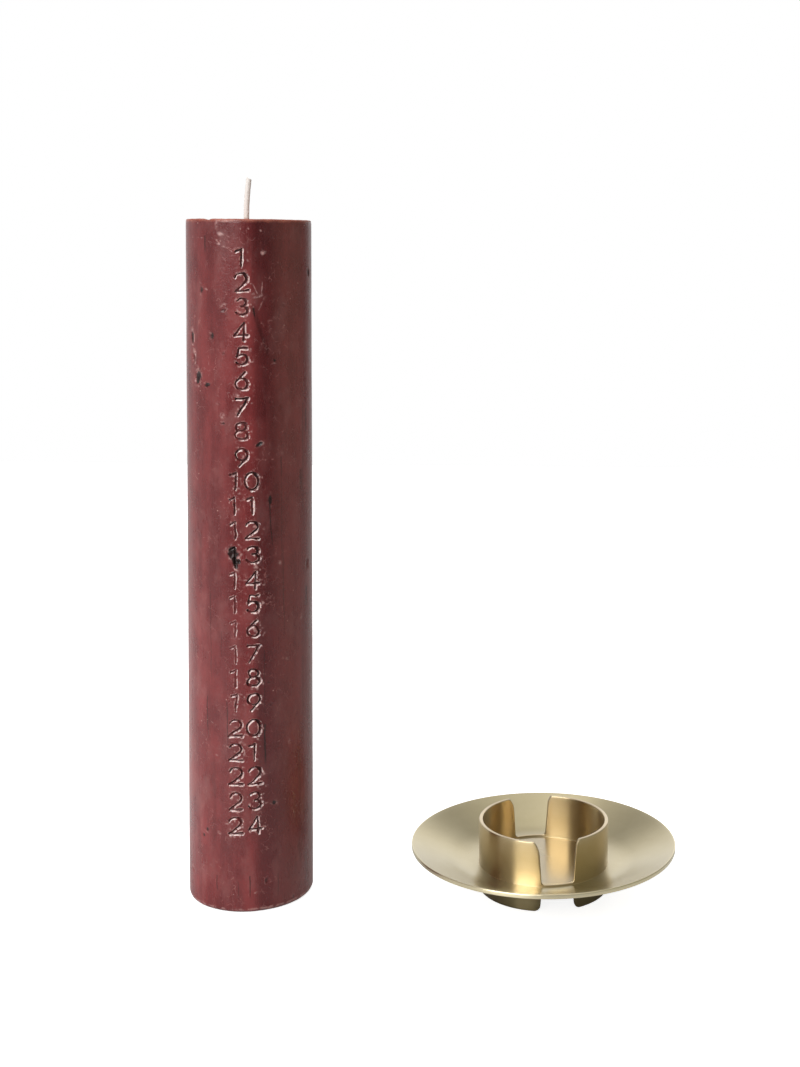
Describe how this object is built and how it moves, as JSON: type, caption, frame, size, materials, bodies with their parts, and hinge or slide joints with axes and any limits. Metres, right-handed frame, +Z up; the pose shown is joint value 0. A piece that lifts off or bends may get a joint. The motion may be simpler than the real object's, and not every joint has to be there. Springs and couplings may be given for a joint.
{
  "type": "calendar candle with holder",
  "caption": "Tall wax pillar candle with numerals pressed down its face and a cotton wick, beside a low brass holder: a spun drip dish with a slotted collar and foot ring.",
  "frame": {"origin": "on the table, under the middle of the set's bounding box", "axes": "+Z up along the candle's and the holder's axes, +X from the candle towards the holder, -Y towards the viewer and the numerals"},
  "size_m": [0.1988, 0.1086, 0.2896],
  "materials": {
    "wax": "satin",
    "cotton": "matte",
    "dish_brass": "satin",
    "ring_brass": "satin"
  },
  "bodies": {
    "holder": {"dish": "dish_brass", "collar": "ring_brass", "foot_ring": "ring_brass"},
    "candle": {"candle_body": "wax", "wick": "cotton"}
  },
  "joints": [
    {"name": "candle_lift", "type": "slide", "parent": "holder", "child": "candle", "axis": [0, 0, 1], "range_m": [0, 0.06]}
  ]
}
